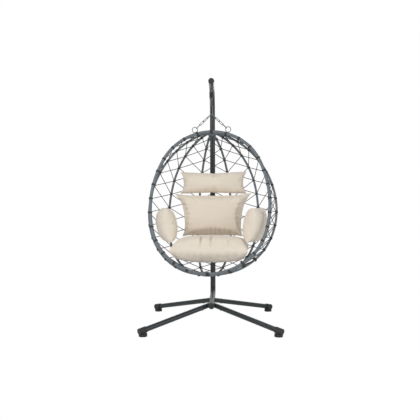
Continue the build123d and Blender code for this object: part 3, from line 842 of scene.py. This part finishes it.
@dataclass
class Cushion:
    """A filled cushion: two crowned faces joined at a seam, drawn out to points at its corners."""

    name: str
    node: str
    centre: Vector
    right: Vector
    up: Vector
    width: float
    height: float
    thickness: float
    side_pull: float = 0.06
    end_pull: float = 0.05
    foot: float = 1.0
    wrap_radius: float = 0.0
    crown: float = 0.55
    gather: float = 0.004
    gathers: int = 11
    growth: float = 0.03
    pressure: float = 4.0
    cap: float = 0.022
    step: float = 0.0065
    crown_power: float = 2.6
    end_fade: float = 0.22
    side_fade: float = 0.18
    seed: int = 1
    creases: tuple[Crease, ...] = field(default_factory=tuple)

    def out(self) -> Vector:
        """Return the direction the cushion's face looks."""
        return self.right.cross(self.up).normalized()

    def face_height(self, u: np.ndarray, v: np.ndarray) -> np.ndarray:
        """Half thickness over the face.

        Args:
            u: places across, -1 to 1.
            v: places up, -1 to 1.

        Returns:
            The half thickness in metres.
        """
        across = np.clip(1 - np.abs(u) ** self.crown_power, 0, 1)
        upward = np.clip(1 - np.abs(v) ** self.crown_power, 0, 1)
        return self.thickness / 2 * (across * upward) ** self.crown

    def lay_out(self, u: np.ndarray, v: np.ndarray, side: float) -> np.ndarray:
        """Place the points of one face in the cushion's own plane.

        Args:
            u: places across, -1 to 1.
            v: places up, -1 to 1.
            side: 1 for the front face, -1 for the back.

        Returns:
            Points as rows of right, up and out.
        """
        taper = (1 + self.foot) / 2 + (1 - self.foot) / 2 * v
        x = self.width / 2 * u * taper * (1 - self.side_pull * (1 - v**2))
        y = self.height / 2 * v * (1 - self.end_pull * (1 - u**2))
        z = side * self.face_height(u, v)
        edge_y = np.exp(-(1 - np.abs(v)) / self.end_fade) - math.exp(-1 / self.end_fade)
        edge_x = np.exp(-(1 - np.abs(u)) / self.side_fade) - math.exp(-1 / self.side_fade)
        free = np.clip(self.face_height(u, v) / (self.thickness / 2) * 3, 0, 1)
        phase = self.seed * 1.7 + side
        rows = np.sin(u * self.gathers * math.pi + phase + 2 * np.sin(3.1 * u + phase))
        columns = np.sin(v * self.gathers * 0.7 * math.pi + phase + 2 * np.sin(2.7 * v + phase))
        z = z + side * self.gather * free * (edge_y * rows + edge_x * columns)
        if side > 0:
            for crease in self.creases:
                z = z + self.crease_height(crease, u, v)
        return np.stack([x, y, z], axis=1)

    def crease_height(self, crease: Crease, u: np.ndarray, v: np.ndarray) -> np.ndarray:
        """Sink of one crease, with the cloth puffed up beside it.

        Args:
            crease: the crease.
            u: places across.
            v: places up.

        Returns:
            What the crease adds to the height, in metres.
        """
        start, end = np.array(crease.start), np.array(crease.end)
        run = end - start
        length = float(np.hypot(*run))
        run = run / length
        along = (u - start[0]) * run[0] + (v - start[1]) * run[1]
        across = (u - start[0]) * -run[1] + (v - start[1]) * run[0]
        inside = np.clip(along / length, 0, 1)
        fade = np.clip(np.sin(math.pi * inside), 0, 1) ** 0.6
        fade = fade * (along > 0) * (along < length)
        narrow = np.exp(-((across / crease.width) ** 2))
        broad = np.exp(-((across / (crease.width * 3)) ** 2))
        return crease.depth * fade * (crease.puff * broad - narrow * (1 + crease.puff))

    def shell(self) -> bpy.types.Object:
        """Build the closed shell as a quad mesh in place."""
        columns = max(12, int(self.width / self.step))
        rows = max(12, int(self.height / self.step))
        us = np.linspace(-1, 1, columns + 1)
        vs = np.linspace(-1, 1, rows + 1)
        grid_u, grid_v = np.meshgrid(us, vs)
        u, v = grid_u.ravel(), grid_v.ravel()
        front = self.lay_out(u, v, 1.0)
        back = self.lay_out(u, v, -1.0)
        count = len(u)
        rim = (np.abs(u) > 1 - 1e-9) | (np.abs(v) > 1 - 1e-9)
        twin = np.arange(count, 2 * count)
        twin[rim] = np.arange(count)[rim]
        keep = np.where(~rim)[0]
        number = np.full(2 * count, -1)
        number[:count] = np.arange(count)
        number[count + keep] = count + np.arange(len(keep))
        points = np.vstack([front, back[keep]])
        faces = []
        width = columns + 1
        for r in range(rows):
            for c in range(columns):
                a, b = r * width + c, r * width + c + 1
                d, e = a + width, b + width
                faces.append((a, b, e, d))
                faces.append(tuple(int(number[twin[i]]) for i in (d, e, b, a)))
        made = mesh_object(self.name, self.world(points), [], faces)
        smooth(made)
        return made

    def world(self, local: np.ndarray) -> np.ndarray:
        """Bend points round the upright axis and set them in the row frame.

        Args:
            local: rows of right, up and out.

        Returns:
            Rows of x, y and z.
        """
        x, y, z = local[:, 0], local[:, 1], local[:, 2]
        if self.wrap_radius:
            angle = x / self.wrap_radius
            reach = self.wrap_radius - z
            x, z = reach * np.sin(angle), self.wrap_radius - reach * np.cos(angle)
        right, up, out = (np.array(w.normalized()) for w in (self.right, self.up, self.out()))
        return np.array(self.centre) + np.outer(x, right) + np.outer(y, up) + np.outer(z, out)

    def inflate(self, made: bpy.types.Object) -> None:
        """Swell the shell as cloth and apply the result, capped.

        Args:
            made: the cushion.
        """
        before = coordinates(made.data)
        cloth = made.modifiers.new("cloth", "CLOTH")
        settings = cloth.settings
        settings.quality = 6
        settings.mass = 0.15
        settings.tension_stiffness = 12
        settings.compression_stiffness = 12
        settings.shear_stiffness = 4
        settings.bending_stiffness = 0.35
        settings.use_pressure = True
        settings.uniform_pressure_force = self.pressure
        settings.shrink_min = -self.growth
        settings.effector_weights.gravity = 0
        cloth.collision_settings.use_collision = False
        cloth.collision_settings.use_self_collision = False
        cloth.point_cache.frame_start = 1
        cloth.point_cache.frame_end = SWELL_FRAMES
        scene = bpy.context.scene
        for frame in range(1, SWELL_FRAMES + 1):
            scene.frame_set(frame)
        graph = bpy.context.evaluated_depsgraph_get()
        result = made.evaluated_get(graph).to_mesh()
        after = coordinates(result)
        made.evaluated_get(graph).to_mesh_clear()
        made.modifiers.remove(cloth)
        scene.frame_set(1)
        shift = after - before
        length = np.linalg.norm(shift, axis=1, keepdims=True)
        shift *= np.minimum(1, self.cap / np.maximum(length, 1e-9))
        set_coordinates(made.data, before + shift)

    def fit(self, made: bpy.types.Object) -> None:
        """Scale the cushion along each axis that reaches past its frame block's room.

        Args:
            made: the cushion.
        """
        low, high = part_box(self.node)
        points = coordinates(made.data)
        for axis in range(3):
            slack = SPARE_SHARE * (high[axis] - low[axis]) + SPARE_MARGIN
            floor, roof = low[axis] - slack, high[axis] + slack
            lowest, highest = points[:, axis].min(), points[:, axis].max()
            if lowest < floor or highest > roof:
                LOG.info("%s is drawn in along axis %d", self.name, axis)
                new_low, new_high = max(lowest, floor), min(highest, roof)
                share = (points[:, axis] - lowest) / (highest - lowest)
                points[:, axis] = new_low + share * (new_high - new_low)
        set_coordinates(made.data, points)

    def build(self, cloth: bpy.types.Material) -> bpy.types.Object:
        """Args:
            cloth: its finish.

        Returns:
            The finished cushion.
        """
        made = self.shell()
        self.inflate(made)
        self.fit(made)
        finer = made.modifiers.new("finer", "SUBSURF")
        finer.levels = finer.render_levels = 1
        made.data.materials.append(cloth)
        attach(made, "basket")
        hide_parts(self.node)
        LOG.info("cushion %s: %d points", self.name, len(made.data.vertices))
        return made


def middle_of(node: str) -> Vector:
    """Return the middle of a frame block's box."""
    low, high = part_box(node)
    return (low + high) / 2


def heading(vector: Sequence[float]) -> Vector:
    """Turn a direction with the hanging basket."""
    return (Matrix.Rotation(math.radians(HANG_TURN), 3, "Z") @ Vector(vector)).normalized()


def leaning(degrees: float) -> Vector:
    """Upward direction that leans back by an angle."""
    lean = math.radians(degrees)
    return heading((0, math.sin(lean), math.cos(lean)))


@dataclass
class CushionSet:
    """The five cushions of the basket."""

    cloth: bpy.types.Material

    def parts(self) -> list[Cushion]:
        """List the cushions with their sizes.

        Returns:
            The cushions, not yet built.
        """
        right = heading((1, 0, 0))
        seat = Cushion(
            "seat_pillow", "seat_cushion", middle_of("seat_cushion"), right, heading((0, 1, 0.03)),
            0.615, 0.43, 0.20, side_pull=-0.02, end_pull=-0.02, crown=0.5, seed=2, cap=0.02,
            creases=(
                Crease((-0.22, -1.05), (-0.18, 0.0), 0.022, 0.030, 0.5),
                Crease((0.06, -1.05), (0.04, 0.0), 0.019, 0.030, 0.5),
                Crease((0.52, -1.05), (0.44, -0.4), 0.009, 0.03),
                Crease((-0.66, -1.0), (-0.58, -0.5), 0.008, 0.03),
            ),
        )
        back = Cushion(
            "back_pillow", "back_cushion", middle_of("back_cushion"), right, leaning(10),
            0.64, 0.385, 0.145, side_pull=0.09, end_pull=0.03, foot=0.80, wrap_radius=1.1, seed=3,
            creases=(
                Crease((-0.6, 0.98), (-0.42, 0.45), 0.010, 0.04),
                Crease((-0.25, 1.0), (-0.2, 0.62), 0.007, 0.03),
                Crease((0.3, 1.0), (0.26, 0.6), 0.007, 0.03),
                Crease((0.62, 0.98), (0.45, 0.5), 0.010, 0.04),
            ),
        )
        head = Cushion(
            "head_roll", "head_pillow", middle_of("head_pillow"), right, leaning(4),
            0.55, 0.20, 0.12, side_pull=0.06, end_pull=0.05, crown=0.45, seed=4, gathers=7, gather=0.003,
        )
        arms = [
            Cushion(
                f"arm_pillow_{name}", f"arm_cushion_{name}", middle_of(f"arm_cushion_{name}"),
                heading((side * -0.30, -0.95, 0.0)), heading((side * 0.16, 0, 1)),
                0.275, 0.285, 0.17, side_pull=0.06, end_pull=0.03, crown=0.55, seed=5 + side, gathers=6,
                creases=(Crease((-0.8, 0.45), (0.7, 0.55), 0.009, 0.05),),
            )
            for name, side in (("left", -1), ("right", 1))
        ]
        return [seat, back, head, *arms]

    def build(self) -> None:
        """Build every cushion."""
        for part in self.parts():
            part.build(self.cloth)


# ------------------------------------------------------------------ stand and hanger
@dataclass
class PaintedFrame:
    """Gives every piece of the frame its finish."""

    frame: dict
    finishes: dict[Finish, bpy.types.Material]

    def build(self) -> None:
        """Dress the frame's pieces by their material slot."""
        for part in self.frame["record"]["subparts"]:
            material = self.finishes[Finish(part["material_slot"])]
            mesh = self.frame["nodes"][part["node"]].data
            mesh.materials.clear()
            mesh.materials.append(material)


# ------------------------------------------------------------------ studio
@dataclass(frozen=True)
class Lamp:
    """A soft square area light, with its side in metres and its power in watts."""

    name: str
    place: tuple[float, float, float]
    size: float
    power: float


@dataclass
class Studio:
    """Pale floor, white surroundings, soft lights and the camera."""

    lens: float = 48.3
    eye: tuple[float, float, float] = (0.096, -4.503, 0.9365)
    yaw: float = -1.39
    pitch: float = -0.46
    roll: float = -0.18
    aim: tuple[float, float, float] = (0, 0, 1.0)
    floor_half: float = 12.0
    world_strength: float = 0.50
    lamps: tuple[Lamp, ...] = (
        Lamp("key", (-2.2, -3.2, 3.4), 2.6, 85),
        Lamp("fill", (3.4, -2.6, 1.8), 3.0, 38),
        Lamp("back", (0.5, 3.4, 2.8), 2.6, 34),
    )

    def camera(self) -> None:
        """Place the camera."""
        data = bpy.data.cameras.new("camera")
        data.lens = self.lens
        data.sensor_width = 36.0
        yaw, pitch, roll = (math.radians(a) for a in (self.yaw, self.pitch, self.roll))
        forward = Vector((math.sin(yaw) * math.cos(pitch), math.cos(yaw) * math.cos(pitch), math.sin(pitch)))
        level = Vector((math.cos(yaw), -math.sin(yaw), 0))
        up = level.cross(forward)
        right = math.cos(roll) * level + math.sin(roll) * up
        above = -math.sin(roll) * level + math.cos(roll) * up
        turn = Matrix((right, above, -forward)).transposed().to_4x4()
        camera = bpy.data.objects.new("camera", data)
        camera.matrix_world = Matrix.Translation(self.eye) @ turn
        bpy.context.scene.collection.objects.link(camera)
        bpy.context.scene.camera = camera

    def light(self, lamp: Lamp) -> None:
        """Add a lamp that points at the middle of the chair.

        Args:
            lamp: its place, size and power.
        """
        data = bpy.data.lights.new(lamp.name, "AREA")
        data.energy = lamp.power
        data.size = lamp.size
        made = bpy.data.objects.new(lamp.name, data)
        made.location = lamp.place
        way = Vector(self.aim) - Vector(lamp.place)
        made.rotation_euler = way.to_track_quat("-Z", "Y").to_euler()
        bpy.context.scene.collection.objects.link(made)

    def floor(self) -> None:
        """Lay the pale floor."""
        half = self.floor_half
        corners = [(-half, -half, 0), (half, -half, 0), (half, half, 0), (-half, half, 0)]
        made = mesh_object("floor", corners, [], [(0, 1, 2, 3)])
        shader = Shader("floor")
        shader.bsdf.inputs["Base Color"].default_value = (0.92, 0.92, 0.92, 1)
        shader.bsdf.inputs["Roughness"].default_value = 0.9
        rays = shader.node("ShaderNodeLightPath")
        glow = shader.node("ShaderNodeEmission", Strength=1.0)
        mix = shader.node("ShaderNodeMixShader")
        output = shader.tree.nodes["Material Output"]
        shader.link(rays.outputs["Is Camera Ray"], mix.inputs[0])
        shader.link(shader.bsdf.outputs[0], mix.inputs[1])
        shader.link(glow.outputs[0], mix.inputs[2])
        shader.link(mix.outputs[0], output.inputs["Surface"])
        made.data.materials.append(shader.material)

    def world(self) -> None:
        """Surround the scene with soft white."""
        world = bpy.data.worlds.new("world")
        bpy.context.scene.world = world
        world.use_nodes = True
        tree = world.node_tree
        dim = tree.nodes["Background"]
        dim.inputs["Color"].default_value = (1, 1, 1, 1)
        dim.inputs["Strength"].default_value = self.world_strength
        bright = tree.nodes.new("ShaderNodeBackground")
        bright.inputs["Color"].default_value = (1, 1, 1, 1)
        rays = tree.nodes.new("ShaderNodeLightPath")
        mix = tree.nodes.new("ShaderNodeMixShader")
        tree.links.new(rays.outputs["Is Camera Ray"], mix.inputs[0])
        tree.links.new(dim.outputs[0], mix.inputs[1])
        tree.links.new(bright.outputs[0], mix.inputs[2])
        tree.links.new(mix.outputs[0], tree.nodes["World Output"].inputs["Surface"])

    def build(self) -> None:
        """Build the whole stage."""
        bpy.context.scene.view_settings.view_transform = "Standard"
        self.world()
        self.floor()
        for lamp in self.lamps:
            self.light(lamp)
        self.camera()


def main() -> None:
    """Build the chair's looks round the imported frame."""
    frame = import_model()
    finishes = build_finishes()
    PaintedFrame(frame, finishes).build()
    Basket(frame, finishes).build()
    CushionSet(finishes[Finish.CLOTH]).build()
    Studio().build()
    LOG.info("chair built")


if __name__ == "__main__":
    main()
